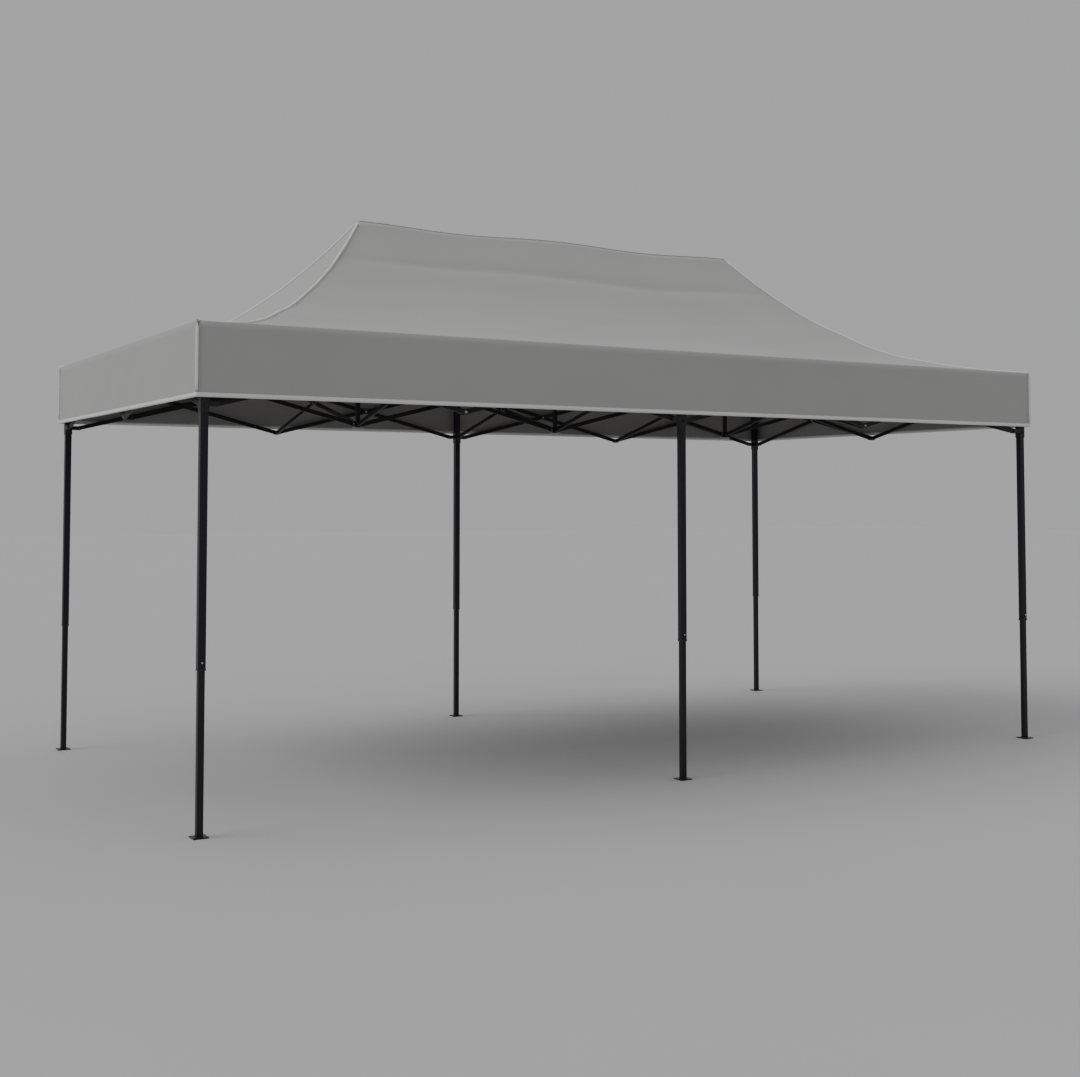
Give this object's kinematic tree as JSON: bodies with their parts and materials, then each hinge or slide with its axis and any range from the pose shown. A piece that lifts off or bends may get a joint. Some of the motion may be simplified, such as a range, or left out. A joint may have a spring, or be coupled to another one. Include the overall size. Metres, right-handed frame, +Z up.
{
  "type": "folding gazebo",
  "caption": "Rectangular pop-up gazebo: fabric hip roof with a valance on a folding scissor truss, ridge masts and telescopic steel legs with foot plates.",
  "frame": {"origin": "on the floor under the middle of the roof", "axes": "+X along the ridge, +Y towards the back long side, +Z up"},
  "size_m": [6, 3.04, 3.46],
  "materials": {
    "outer_leg_back_mid": "satin powder coat",
    "canopy": "matt woven polyester",
    "bar_cross_back_fall": "satin powder coat",
    "bar_cross_back_rise": "satin powder coat",
    "mast_centre": "satin powder coat",
    "bar_cross_front_rise": "satin powder coat",
    "bar_cross_front_fall": "satin powder coat",
    "outer_leg_front_mid": "satin powder coat",
    "bar_spine_left_inner_rise": "satin powder coat",
    "bar_spine_left_inner_fall": "satin powder coat",
    "mast_left": "satin powder coat",
    "bar_spine_left_outer_rise": "satin powder coat",
    "bar_spine_left_outer_fall": "satin powder coat",
    "bar_bay_left_back_rise": "satin powder coat",
    "bar_bay_left_back_fall": "satin powder coat",
    "bar_bay_left_front_rise": "satin powder coat",
    "bar_bay_left_front_fall": "satin powder coat",
    "bar_spine_right_inner_rise": "satin powder coat",
    "bar_spine_right_inner_fall": "satin powder coat",
    "mast_right": "satin powder coat",
    "bar_spine_right_outer_rise": "satin powder coat",
    "bar_spine_right_outer_fall": "satin powder coat",
    "bar_bay_right_back_rise": "satin powder coat",
    "bar_bay_right_back_fall": "satin powder coat",
    "bar_bay_right_front_rise": "satin powder coat",
    "bar_bay_right_front_fall": "satin powder coat",
    "bar_back_left_inner_fall": "satin powder coat",
    "bar_back_left_inner_rise": "satin powder coat",
    "bar_back_left_outer_rise": "satin powder coat",
    "bar_back_left_outer_fall": "satin powder coat",
    "outer_leg_back_left": "satin powder coat",
    "bar_end_left_back_fall": "satin powder coat",
    "bar_end_left_back_rise": "satin powder coat",
    "bar_back_right_inner_fall": "satin powder coat",
    "bar_back_right_inner_rise": "satin powder coat",
    "bar_back_right_outer_rise": "satin powder coat",
    "bar_back_right_outer_fall": "satin powder coat",
    "outer_leg_back_right": "satin powder coat",
    "bar_end_right_back_fall": "satin powder coat",
    "bar_end_right_back_rise": "satin powder coat",
    "bar_front_left_inner_fall": "satin powder coat",
    "bar_front_left_inner_rise": "satin powder coat",
    "bar_front_left_outer_rise": "satin powder coat",
    "bar_front_left_outer_fall": "satin powder coat",
    "outer_leg_front_left": "satin powder coat",
    "bar_end_left_front_fall": "satin powder coat",
    "bar_end_left_front_rise": "satin powder coat",
    "bar_front_right_inner_fall": "satin powder coat",
    "bar_front_right_inner_rise": "satin powder coat",
    "bar_front_right_outer_rise": "satin powder coat",
    "bar_front_right_outer_fall": "satin powder coat",
    "outer_leg_front_right": "satin powder coat",
    "bar_end_right_front_fall": "satin powder coat",
    "bar_end_right_front_rise": "satin powder coat",
    "inner_leg_back_mid": "satin powder coat",
    "inner_leg_front_mid": "satin powder coat",
    "inner_leg_back_left": "satin powder coat",
    "inner_leg_back_right": "satin powder coat",
    "inner_leg_front_left": "satin powder coat",
    "inner_leg_front_right": "satin powder coat"
  },
  "bodies": {
    "leg_back_mid": {"outer_leg_back_mid": "outer_leg_back_mid", "canopy": "canopy"},
    "bar_cross_back_fall": {"bar_cross_back_fall": "bar_cross_back_fall"},
    "bar_cross_back_rise": {"bar_cross_back_rise": "bar_cross_back_rise"},
    "mast_centre": {"mast_centre": "mast_centre"},
    "bar_cross_front_rise": {"bar_cross_front_rise": "bar_cross_front_rise"},
    "bar_cross_front_fall": {"bar_cross_front_fall": "bar_cross_front_fall"},
    "leg_front_mid": {"outer_leg_front_mid": "outer_leg_front_mid"},
    "bar_spine_left_inner_rise": {"bar_spine_left_inner_rise": "bar_spine_left_inner_rise"},
    "bar_spine_left_inner_fall": {"bar_spine_left_inner_fall": "bar_spine_left_inner_fall"},
    "mast_left": {"mast_left": "mast_left"},
    "bar_spine_left_outer_rise": {"bar_spine_left_outer_rise": "bar_spine_left_outer_rise"},
    "bar_spine_left_outer_fall": {"bar_spine_left_outer_fall": "bar_spine_left_outer_fall"},
    "bar_bay_left_back_rise": {"bar_bay_left_back_rise": "bar_bay_left_back_rise"},
    "bar_bay_left_back_fall": {"bar_bay_left_back_fall": "bar_bay_left_back_fall"},
    "bar_bay_left_front_rise": {"bar_bay_left_front_rise": "bar_bay_left_front_rise"},
    "bar_bay_left_front_fall": {"bar_bay_left_front_fall": "bar_bay_left_front_fall"},
    "bar_spine_right_inner_rise": {"bar_spine_right_inner_rise": "bar_spine_right_inner_rise"},
    "bar_spine_right_inner_fall": {"bar_spine_right_inner_fall": "bar_spine_right_inner_fall"},
    "mast_right": {"mast_right": "mast_right"},
    "bar_spine_right_outer_rise": {"bar_spine_right_outer_rise": "bar_spine_right_outer_rise"},
    "bar_spine_right_outer_fall": {"bar_spine_right_outer_fall": "bar_spine_right_outer_fall"},
    "bar_bay_right_back_rise": {"bar_bay_right_back_rise": "bar_bay_right_back_rise"},
    "bar_bay_right_back_fall": {"bar_bay_right_back_fall": "bar_bay_right_back_fall"},
    "bar_bay_right_front_rise": {"bar_bay_right_front_rise": "bar_bay_right_front_rise"},
    "bar_bay_right_front_fall": {"bar_bay_right_front_fall": "bar_bay_right_front_fall"},
    "bar_back_left_inner_fall": {"bar_back_left_inner_fall": "bar_back_left_inner_fall"},
    "bar_back_left_inner_rise": {"bar_back_left_inner_rise": "bar_back_left_inner_rise"},
    "bar_back_left_outer_rise": {"bar_back_left_outer_rise": "bar_back_left_outer_rise"},
    "bar_back_left_outer_fall": {"bar_back_left_outer_fall": "bar_back_left_outer_fall"},
    "leg_back_left": {"outer_leg_back_left": "outer_leg_back_left"},
    "bar_end_left_back_fall": {"bar_end_left_back_fall": "bar_end_left_back_fall"},
    "bar_end_left_back_rise": {"bar_end_left_back_rise": "bar_end_left_back_rise"},
    "bar_back_right_inner_fall": {"bar_back_right_inner_fall": "bar_back_right_inner_fall"},
    "bar_back_right_inner_rise": {"bar_back_right_inner_rise": "bar_back_right_inner_rise"},
    "bar_back_right_outer_rise": {"bar_back_right_outer_rise": "bar_back_right_outer_rise"},
    "bar_back_right_outer_fall": {"bar_back_right_outer_fall": "bar_back_right_outer_fall"},
    "leg_back_right": {"outer_leg_back_right": "outer_leg_back_right"},
    "bar_end_right_back_fall": {"bar_end_right_back_fall": "bar_end_right_back_fall"},
    "bar_end_right_back_rise": {"bar_end_right_back_rise": "bar_end_right_back_rise"},
    "bar_front_left_inner_fall": {"bar_front_left_inner_fall": "bar_front_left_inner_fall"},
    "bar_front_left_inner_rise": {"bar_front_left_inner_rise": "bar_front_left_inner_rise"},
    "bar_front_left_outer_rise": {"bar_front_left_outer_rise": "bar_front_left_outer_rise"},
    "bar_front_left_outer_fall": {"bar_front_left_outer_fall": "bar_front_left_outer_fall"},
    "leg_front_left": {"outer_leg_front_left": "outer_leg_front_left"},
    "bar_end_left_front_fall": {"bar_end_left_front_fall": "bar_end_left_front_fall"},
    "bar_end_left_front_rise": {"bar_end_left_front_rise": "bar_end_left_front_rise"},
    "bar_front_right_inner_fall": {"bar_front_right_inner_fall": "bar_front_right_inner_fall"},
    "bar_front_right_inner_rise": {"bar_front_right_inner_rise": "bar_front_right_inner_rise"},
    "bar_front_right_outer_rise": {"bar_front_right_outer_rise": "bar_front_right_outer_rise"},
    "bar_front_right_outer_fall": {"bar_front_right_outer_fall": "bar_front_right_outer_fall"},
    "leg_front_right": {"outer_leg_front_right": "outer_leg_front_right"},
    "bar_end_right_front_fall": {"bar_end_right_front_fall": "bar_end_right_front_fall"},
    "bar_end_right_front_rise": {"bar_end_right_front_rise": "bar_end_right_front_rise"},
    "foot_back_mid": {"inner_leg_back_mid": "inner_leg_back_mid"},
    "foot_front_mid": {"inner_leg_front_mid": "inner_leg_front_mid"},
    "foot_back_left": {"inner_leg_back_left": "inner_leg_back_left"},
    "foot_back_right": {"inner_leg_back_right": "inner_leg_back_right"},
    "foot_front_left": {"inner_leg_front_left": "inner_leg_front_left"},
    "foot_front_right": {"inner_leg_front_right": "inner_leg_front_right"}
  },
  "joints": [
    {"name": "fold", "type": "hinge", "parent": "leg_back_mid", "child": "bar_cross_back_fall", "pos_m": [0, 1.438, 2.5], "axis": [1, 0, 0], "range_deg": [0, 70.01], "deforming": ["canopy"]},
    {"name": "cross_back_rise_pivot", "type": "hinge", "parent": "bar_cross_back_fall", "child": "bar_cross_back_rise", "pos_m": [0, 0.7355, 2.325], "axis": [-1, 0, 0], "range_deg": [0, 140.02]},
    {"name": "mast_centre_pivot", "type": "hinge", "parent": "bar_cross_back_fall", "child": "mast_centre", "pos_m": [0, 0.033, 2.15], "axis": [-1, 0, 0], "range_deg": [0, 70.01]},
    {"name": "cross_front_rise_pivot", "type": "hinge", "parent": "mast_centre", "child": "bar_cross_front_rise", "pos_m": [0, -0.033, 2.15], "axis": [-1, 0, 0], "range_deg": [0, 70.01]},
    {"name": "cross_front_fall_pivot", "type": "hinge", "parent": "bar_cross_front_rise", "child": "bar_cross_front_fall", "pos_m": [0, -0.7355, 2.325], "axis": [1, 0, 0], "range_deg": [0, 140.02]},
    {"name": "leg_front_mid_pivot", "type": "hinge", "parent": "bar_cross_front_rise", "child": "leg_front_mid", "pos_m": [0, -1.438, 2.5], "axis": [1, 0, 0], "range_deg": [0, 70.01]},
    {"name": "spine_left_inner_rise_pivot", "type": "hinge", "parent": "mast_centre", "child": "bar_spine_left_inner_rise", "pos_m": [-0.035, 0, 2.15], "axis": [0, 1, 0], "range_deg": [0, 70.01]},
    {"name": "spine_left_inner_fall_pivot", "type": "hinge", "parent": "bar_spine_left_inner_rise", "child": "bar_spine_left_inner_fall", "pos_m": [-0.7375, 0, 2.325], "axis": [0, -1, 0], "range_deg": [0, 140.02]},
    {"name": "mast_left_pivot", "type": "hinge", "parent": "bar_spine_left_inner_fall", "child": "mast_left", "pos_m": [-1.44, 0, 2.15], "axis": [0, 1, 0], "range_deg": [0, 70.01]},
    {"name": "spine_left_outer_rise_pivot", "type": "hinge", "parent": "mast_left", "child": "bar_spine_left_outer_rise", "pos_m": [-1.51, 0, 2.15], "axis": [0, 1, 0], "range_deg": [0, 70.01]},
    {"name": "spine_left_outer_fall_pivot", "type": "hinge", "parent": "bar_spine_left_outer_rise", "child": "bar_spine_left_outer_fall", "pos_m": [-2.2125, 0, 2.325], "axis": [0, -1, 0], "range_deg": [0, 140.02]},
    {"name": "bay_left_back_rise_pivot", "type": "hinge", "parent": "mast_left", "child": "bar_bay_left_back_rise", "pos_m": [-1.475, 0.035, 2.15], "axis": [1, 0, 0], "range_deg": [0, 70.01]},
    {"name": "bay_left_back_fall_pivot", "type": "hinge", "parent": "bar_bay_left_back_rise", "child": "bar_bay_left_back_fall", "pos_m": [-1.475, 0.7375, 2.325], "axis": [-1, 0, 0], "range_deg": [0, 140.02]},
    {"name": "bay_left_front_rise_pivot", "type": "hinge", "parent": "mast_left", "child": "bar_bay_left_front_rise", "pos_m": [-1.475, -0.035, 2.15], "axis": [-1, 0, 0], "range_deg": [0, 70.01]},
    {"name": "bay_left_front_fall_pivot", "type": "hinge", "parent": "bar_bay_left_front_rise", "child": "bar_bay_left_front_fall", "pos_m": [-1.475, -0.7375, 2.325], "axis": [1, 0, 0], "range_deg": [0, 140.02]},
    {"name": "spine_right_inner_rise_pivot", "type": "hinge", "parent": "mast_centre", "child": "bar_spine_right_inner_rise", "pos_m": [0.035, 0, 2.15], "axis": [0, -1, 0], "range_deg": [0, 70.01]},
    {"name": "spine_right_inner_fall_pivot", "type": "hinge", "parent": "bar_spine_right_inner_rise", "child": "bar_spine_right_inner_fall", "pos_m": [0.7375, 0, 2.325], "axis": [0, 1, 0], "range_deg": [0, 140.02]},
    {"name": "mast_right_pivot", "type": "hinge", "parent": "bar_spine_right_inner_fall", "child": "mast_right", "pos_m": [1.44, 0, 2.15], "axis": [0, -1, 0], "range_deg": [0, 70.01]},
    {"name": "spine_right_outer_rise_pivot", "type": "hinge", "parent": "mast_right", "child": "bar_spine_right_outer_rise", "pos_m": [1.51, 0, 2.15], "axis": [0, -1, 0], "range_deg": [0, 70.01]},
    {"name": "spine_right_outer_fall_pivot", "type": "hinge", "parent": "bar_spine_right_outer_rise", "child": "bar_spine_right_outer_fall", "pos_m": [2.2125, 0, 2.325], "axis": [0, 1, 0], "range_deg": [0, 140.02]},
    {"name": "bay_right_back_rise_pivot", "type": "hinge", "parent": "mast_right", "child": "bar_bay_right_back_rise", "pos_m": [1.475, 0.035, 2.15], "axis": [1, 0, 0], "range_deg": [0, 70.01]},
    {"name": "bay_right_back_fall_pivot", "type": "hinge", "parent": "bar_bay_right_back_rise", "child": "bar_bay_right_back_fall", "pos_m": [1.475, 0.7375, 2.325], "axis": [-1, 0, 0], "range_deg": [0, 140.02]},
    {"name": "bay_right_front_rise_pivot", "type": "hinge", "parent": "mast_right", "child": "bar_bay_right_front_rise", "pos_m": [1.475, -0.035, 2.15], "axis": [-1, 0, 0], "range_deg": [0, 70.01]},
    {"name": "bay_right_front_fall_pivot", "type": "hinge", "parent": "bar_bay_right_front_rise", "child": "bar_bay_right_front_fall", "pos_m": [1.475, -0.7375, 2.325], "axis": [1, 0, 0], "range_deg": [0, 140.02]},
    {"name": "back_left_inner_fall_pivot", "type": "hinge", "parent": "leg_back_mid", "child": "bar_back_left_inner_fall", "pos_m": [-0.07, 1.475, 2.5], "axis": [0, -1, 0], "range_deg": [0, 70.01]},
    {"name": "back_left_inner_rise_pivot", "type": "hinge", "parent": "bar_back_left_inner_fall", "child": "bar_back_left_inner_rise", "pos_m": [-0.7725, 1.475, 2.325], "axis": [0, 1, 0], "range_deg": [0, 140.02]},
    {"name": "back_left_outer_rise_pivot", "type": "hinge", "parent": "bar_back_left_inner_fall", "child": "bar_back_left_outer_rise", "pos_m": [-1.475, 1.475, 2.15], "axis": [0, 1, 0], "range_deg": [0, 140.02]},
    {"name": "back_left_outer_fall_pivot", "type": "hinge", "parent": "bar_back_left_outer_rise", "child": "bar_back_left_outer_fall", "pos_m": [-2.1775, 1.475, 2.325], "axis": [0, -1, 0], "range_deg": [0, 140.02]},
    {"name": "leg_back_left_pivot", "type": "hinge", "parent": "bar_back_left_outer_rise", "child": "leg_back_left", "pos_m": [-2.88, 1.475, 2.5], "axis": [0, -1, 0], "range_deg": [0, 70.01]},
    {"name": "end_left_back_fall_pivot", "type": "hinge", "parent": "leg_back_left", "child": "bar_end_left_back_fall", "pos_m": [-2.95, 1.405, 2.5], "axis": [1, 0, 0], "range_deg": [0, 70.01]},
    {"name": "end_left_back_rise_pivot", "type": "hinge", "parent": "bar_end_left_back_fall", "child": "bar_end_left_back_rise", "pos_m": [-2.95, 0.7025, 2.325], "axis": [-1, 0, 0], "range_deg": [0, 140.02]},
    {"name": "back_right_inner_fall_pivot", "type": "hinge", "parent": "leg_back_mid", "child": "bar_back_right_inner_fall", "pos_m": [0.07, 1.475, 2.5], "axis": [0, 1, 0], "range_deg": [0, 70.01]},
    {"name": "back_right_inner_rise_pivot", "type": "hinge", "parent": "bar_back_right_inner_fall", "child": "bar_back_right_inner_rise", "pos_m": [0.7725, 1.475, 2.325], "axis": [0, -1, 0], "range_deg": [0, 140.02]},
    {"name": "back_right_outer_rise_pivot", "type": "hinge", "parent": "bar_back_right_inner_fall", "child": "bar_back_right_outer_rise", "pos_m": [1.475, 1.475, 2.15], "axis": [0, -1, 0], "range_deg": [0, 140.02]},
    {"name": "back_right_outer_fall_pivot", "type": "hinge", "parent": "bar_back_right_outer_rise", "child": "bar_back_right_outer_fall", "pos_m": [2.1775, 1.475, 2.325], "axis": [0, 1, 0], "range_deg": [0, 140.02]},
    {"name": "leg_back_right_pivot", "type": "hinge", "parent": "bar_back_right_outer_rise", "child": "leg_back_right", "pos_m": [2.88, 1.475, 2.5], "axis": [0, 1, 0], "range_deg": [0, 70.01]},
    {"name": "end_right_back_fall_pivot", "type": "hinge", "parent": "leg_back_right", "child": "bar_end_right_back_fall", "pos_m": [2.95, 1.405, 2.5], "axis": [1, 0, 0], "range_deg": [0, 70.01]},
    {"name": "end_right_back_rise_pivot", "type": "hinge", "parent": "bar_end_right_back_fall", "child": "bar_end_right_back_rise", "pos_m": [2.95, 0.7025, 2.325], "axis": [-1, 0, 0], "range_deg": [0, 140.02]},
    {"name": "front_left_inner_fall_pivot", "type": "hinge", "parent": "leg_front_mid", "child": "bar_front_left_inner_fall", "pos_m": [-0.07, -1.475, 2.5], "axis": [0, -1, 0], "range_deg": [0, 70.01]},
    {"name": "front_left_inner_rise_pivot", "type": "hinge", "parent": "bar_front_left_inner_fall", "child": "bar_front_left_inner_rise", "pos_m": [-0.7725, -1.475, 2.325], "axis": [0, 1, 0], "range_deg": [0, 140.02]},
    {"name": "front_left_outer_rise_pivot", "type": "hinge", "parent": "bar_front_left_inner_fall", "child": "bar_front_left_outer_rise", "pos_m": [-1.475, -1.475, 2.15], "axis": [0, 1, 0], "range_deg": [0, 140.02]},
    {"name": "front_left_outer_fall_pivot", "type": "hinge", "parent": "bar_front_left_outer_rise", "child": "bar_front_left_outer_fall", "pos_m": [-2.1775, -1.475, 2.325], "axis": [0, -1, 0], "range_deg": [0, 140.02]},
    {"name": "leg_front_left_pivot", "type": "hinge", "parent": "bar_front_left_outer_rise", "child": "leg_front_left", "pos_m": [-2.88, -1.475, 2.5], "axis": [0, -1, 0], "range_deg": [0, 70.01]},
    {"name": "end_left_front_fall_pivot", "type": "hinge", "parent": "leg_front_left", "child": "bar_end_left_front_fall", "pos_m": [-2.95, -1.405, 2.5], "axis": [-1, 0, 0], "range_deg": [0, 70.01]},
    {"name": "end_left_front_rise_pivot", "type": "hinge", "parent": "bar_end_left_front_fall", "child": "bar_end_left_front_rise", "pos_m": [-2.95, -0.7025, 2.325], "axis": [1, 0, 0], "range_deg": [0, 140.02]},
    {"name": "front_right_inner_fall_pivot", "type": "hinge", "parent": "leg_front_mid", "child": "bar_front_right_inner_fall", "pos_m": [0.07, -1.475, 2.5], "axis": [0, 1, 0], "range_deg": [0, 70.01]},
    {"name": "front_right_inner_rise_pivot", "type": "hinge", "parent": "bar_front_right_inner_fall", "child": "bar_front_right_inner_rise", "pos_m": [0.7725, -1.475, 2.325], "axis": [0, -1, 0], "range_deg": [0, 140.02]},
    {"name": "front_right_outer_rise_pivot", "type": "hinge", "parent": "bar_front_right_inner_fall", "child": "bar_front_right_outer_rise", "pos_m": [1.475, -1.475, 2.15], "axis": [0, -1, 0], "range_deg": [0, 140.02]},
    {"name": "front_right_outer_fall_pivot", "type": "hinge", "parent": "bar_front_right_outer_rise", "child": "bar_front_right_outer_fall", "pos_m": [2.1775, -1.475, 2.325], "axis": [0, 1, 0], "range_deg": [0, 140.02]},
    {"name": "leg_front_right_pivot", "type": "hinge", "parent": "bar_front_right_outer_rise", "child": "leg_front_right", "pos_m": [2.88, -1.475, 2.5], "axis": [0, 1, 0], "range_deg": [0, 70.01]},
    {"name": "end_right_front_fall_pivot", "type": "hinge", "parent": "leg_front_right", "child": "bar_end_right_front_fall", "pos_m": [2.95, -1.405, 2.5], "axis": [-1, 0, 0], "range_deg": [0, 70.01]},
    {"name": "end_right_front_rise_pivot", "type": "hinge", "parent": "bar_end_right_front_fall", "child": "bar_end_right_front_rise", "pos_m": [2.95, -0.7025, 2.325], "axis": [1, 0, 0], "range_deg": [0, 140.02]},
    {"name": "back_mid_slide", "type": "slide", "parent": "leg_back_mid", "child": "foot_back_mid", "axis": [0, 0, 1], "range_m": [0, 0.75]},
    {"name": "front_mid_slide", "type": "slide", "parent": "leg_front_mid", "child": "foot_front_mid", "axis": [0, 0, 1], "range_m": [0, 0.75]},
    {"name": "back_left_slide", "type": "slide", "parent": "leg_back_left", "child": "foot_back_left", "axis": [0, 0, 1], "range_m": [0, 0.75]},
    {"name": "back_right_slide", "type": "slide", "parent": "leg_back_right", "child": "foot_back_right", "axis": [0, 0, 1], "range_m": [0, 0.75]},
    {"name": "front_left_slide", "type": "slide", "parent": "leg_front_left", "child": "foot_front_left", "axis": [0, 0, 1], "range_m": [0, 0.75]},
    {"name": "front_right_slide", "type": "slide", "parent": "leg_front_right", "child": "foot_front_right", "axis": [0, 0, 1], "range_m": [0, 0.75]}
  ],
  "couplings": [
    {"joint": "cross_back_rise_pivot", "follows": "fold", "ratio": 2},
    {"joint": "mast_centre_pivot", "follows": "fold", "ratio": 1},
    {"joint": "cross_front_rise_pivot", "follows": "fold", "ratio": 1},
    {"joint": "cross_front_fall_pivot", "follows": "fold", "ratio": 2},
    {"joint": "leg_front_mid_pivot", "follows": "fold", "ratio": 1},
    {"joint": "spine_left_inner_rise_pivot", "follows": "fold", "ratio": 1},
    {"joint": "spine_left_inner_fall_pivot", "follows": "fold", "ratio": 2},
    {"joint": "mast_left_pivot", "follows": "fold", "ratio": 1},
    {"joint": "spine_left_outer_rise_pivot", "follows": "fold", "ratio": 1},
    {"joint": "spine_left_outer_fall_pivot", "follows": "fold", "ratio": 2},
    {"joint": "bay_left_back_rise_pivot", "follows": "fold", "ratio": 1},
    {"joint": "bay_left_back_fall_pivot", "follows": "fold", "ratio": 2},
    {"joint": "bay_left_front_rise_pivot", "follows": "fold", "ratio": 1},
    {"joint": "bay_left_front_fall_pivot", "follows": "fold", "ratio": 2},
    {"joint": "spine_right_inner_rise_pivot", "follows": "fold", "ratio": 1},
    {"joint": "spine_right_inner_fall_pivot", "follows": "fold", "ratio": 2},
    {"joint": "mast_right_pivot", "follows": "fold", "ratio": 1},
    {"joint": "spine_right_outer_rise_pivot", "follows": "fold", "ratio": 1},
    {"joint": "spine_right_outer_fall_pivot", "follows": "fold", "ratio": 2},
    {"joint": "bay_right_back_rise_pivot", "follows": "fold", "ratio": 1},
    {"joint": "bay_right_back_fall_pivot", "follows": "fold", "ratio": 2},
    {"joint": "bay_right_front_rise_pivot", "follows": "fold", "ratio": 1},
    {"joint": "bay_right_front_fall_pivot", "follows": "fold", "ratio": 2},
    {"joint": "back_left_inner_fall_pivot", "follows": "fold", "ratio": 1},
    {"joint": "back_left_inner_rise_pivot", "follows": "fold", "ratio": 2},
    {"joint": "back_left_outer_rise_pivot", "follows": "fold", "ratio": 2},
    {"joint": "back_left_outer_fall_pivot", "follows": "fold", "ratio": 2},
    {"joint": "leg_back_left_pivot", "follows": "fold", "ratio": 1},
    {"joint": "end_left_back_fall_pivot", "follows": "fold", "ratio": 1},
    {"joint": "end_left_back_rise_pivot", "follows": "fold", "ratio": 2},
    {"joint": "back_right_inner_fall_pivot", "follows": "fold", "ratio": 1},
    {"joint": "back_right_inner_rise_pivot", "follows": "fold", "ratio": 2},
    {"joint": "back_right_outer_rise_pivot", "follows": "fold", "ratio": 2},
    {"joint": "back_right_outer_fall_pivot", "follows": "fold", "ratio": 2},
    {"joint": "leg_back_right_pivot", "follows": "fold", "ratio": 1},
    {"joint": "end_right_back_fall_pivot", "follows": "fold", "ratio": 1},
    {"joint": "end_right_back_rise_pivot", "follows": "fold", "ratio": 2},
    {"joint": "front_left_inner_fall_pivot", "follows": "fold", "ratio": 1},
    {"joint": "front_left_inner_rise_pivot", "follows": "fold", "ratio": 2},
    {"joint": "front_left_outer_rise_pivot", "follows": "fold", "ratio": 2},
    {"joint": "front_left_outer_fall_pivot", "follows": "fold", "ratio": 2},
    {"joint": "leg_front_left_pivot", "follows": "fold", "ratio": 1},
    {"joint": "end_left_front_fall_pivot", "follows": "fold", "ratio": 1},
    {"joint": "end_left_front_rise_pivot", "follows": "fold", "ratio": 2},
    {"joint": "front_right_inner_fall_pivot", "follows": "fold", "ratio": 1},
    {"joint": "front_right_inner_rise_pivot", "follows": "fold", "ratio": 2},
    {"joint": "front_right_outer_rise_pivot", "follows": "fold", "ratio": 2},
    {"joint": "front_right_outer_fall_pivot", "follows": "fold", "ratio": 2},
    {"joint": "leg_front_right_pivot", "follows": "fold", "ratio": 1},
    {"joint": "end_right_front_fall_pivot", "follows": "fold", "ratio": 1},
    {"joint": "end_right_front_rise_pivot", "follows": "fold", "ratio": 2}
  ]
}
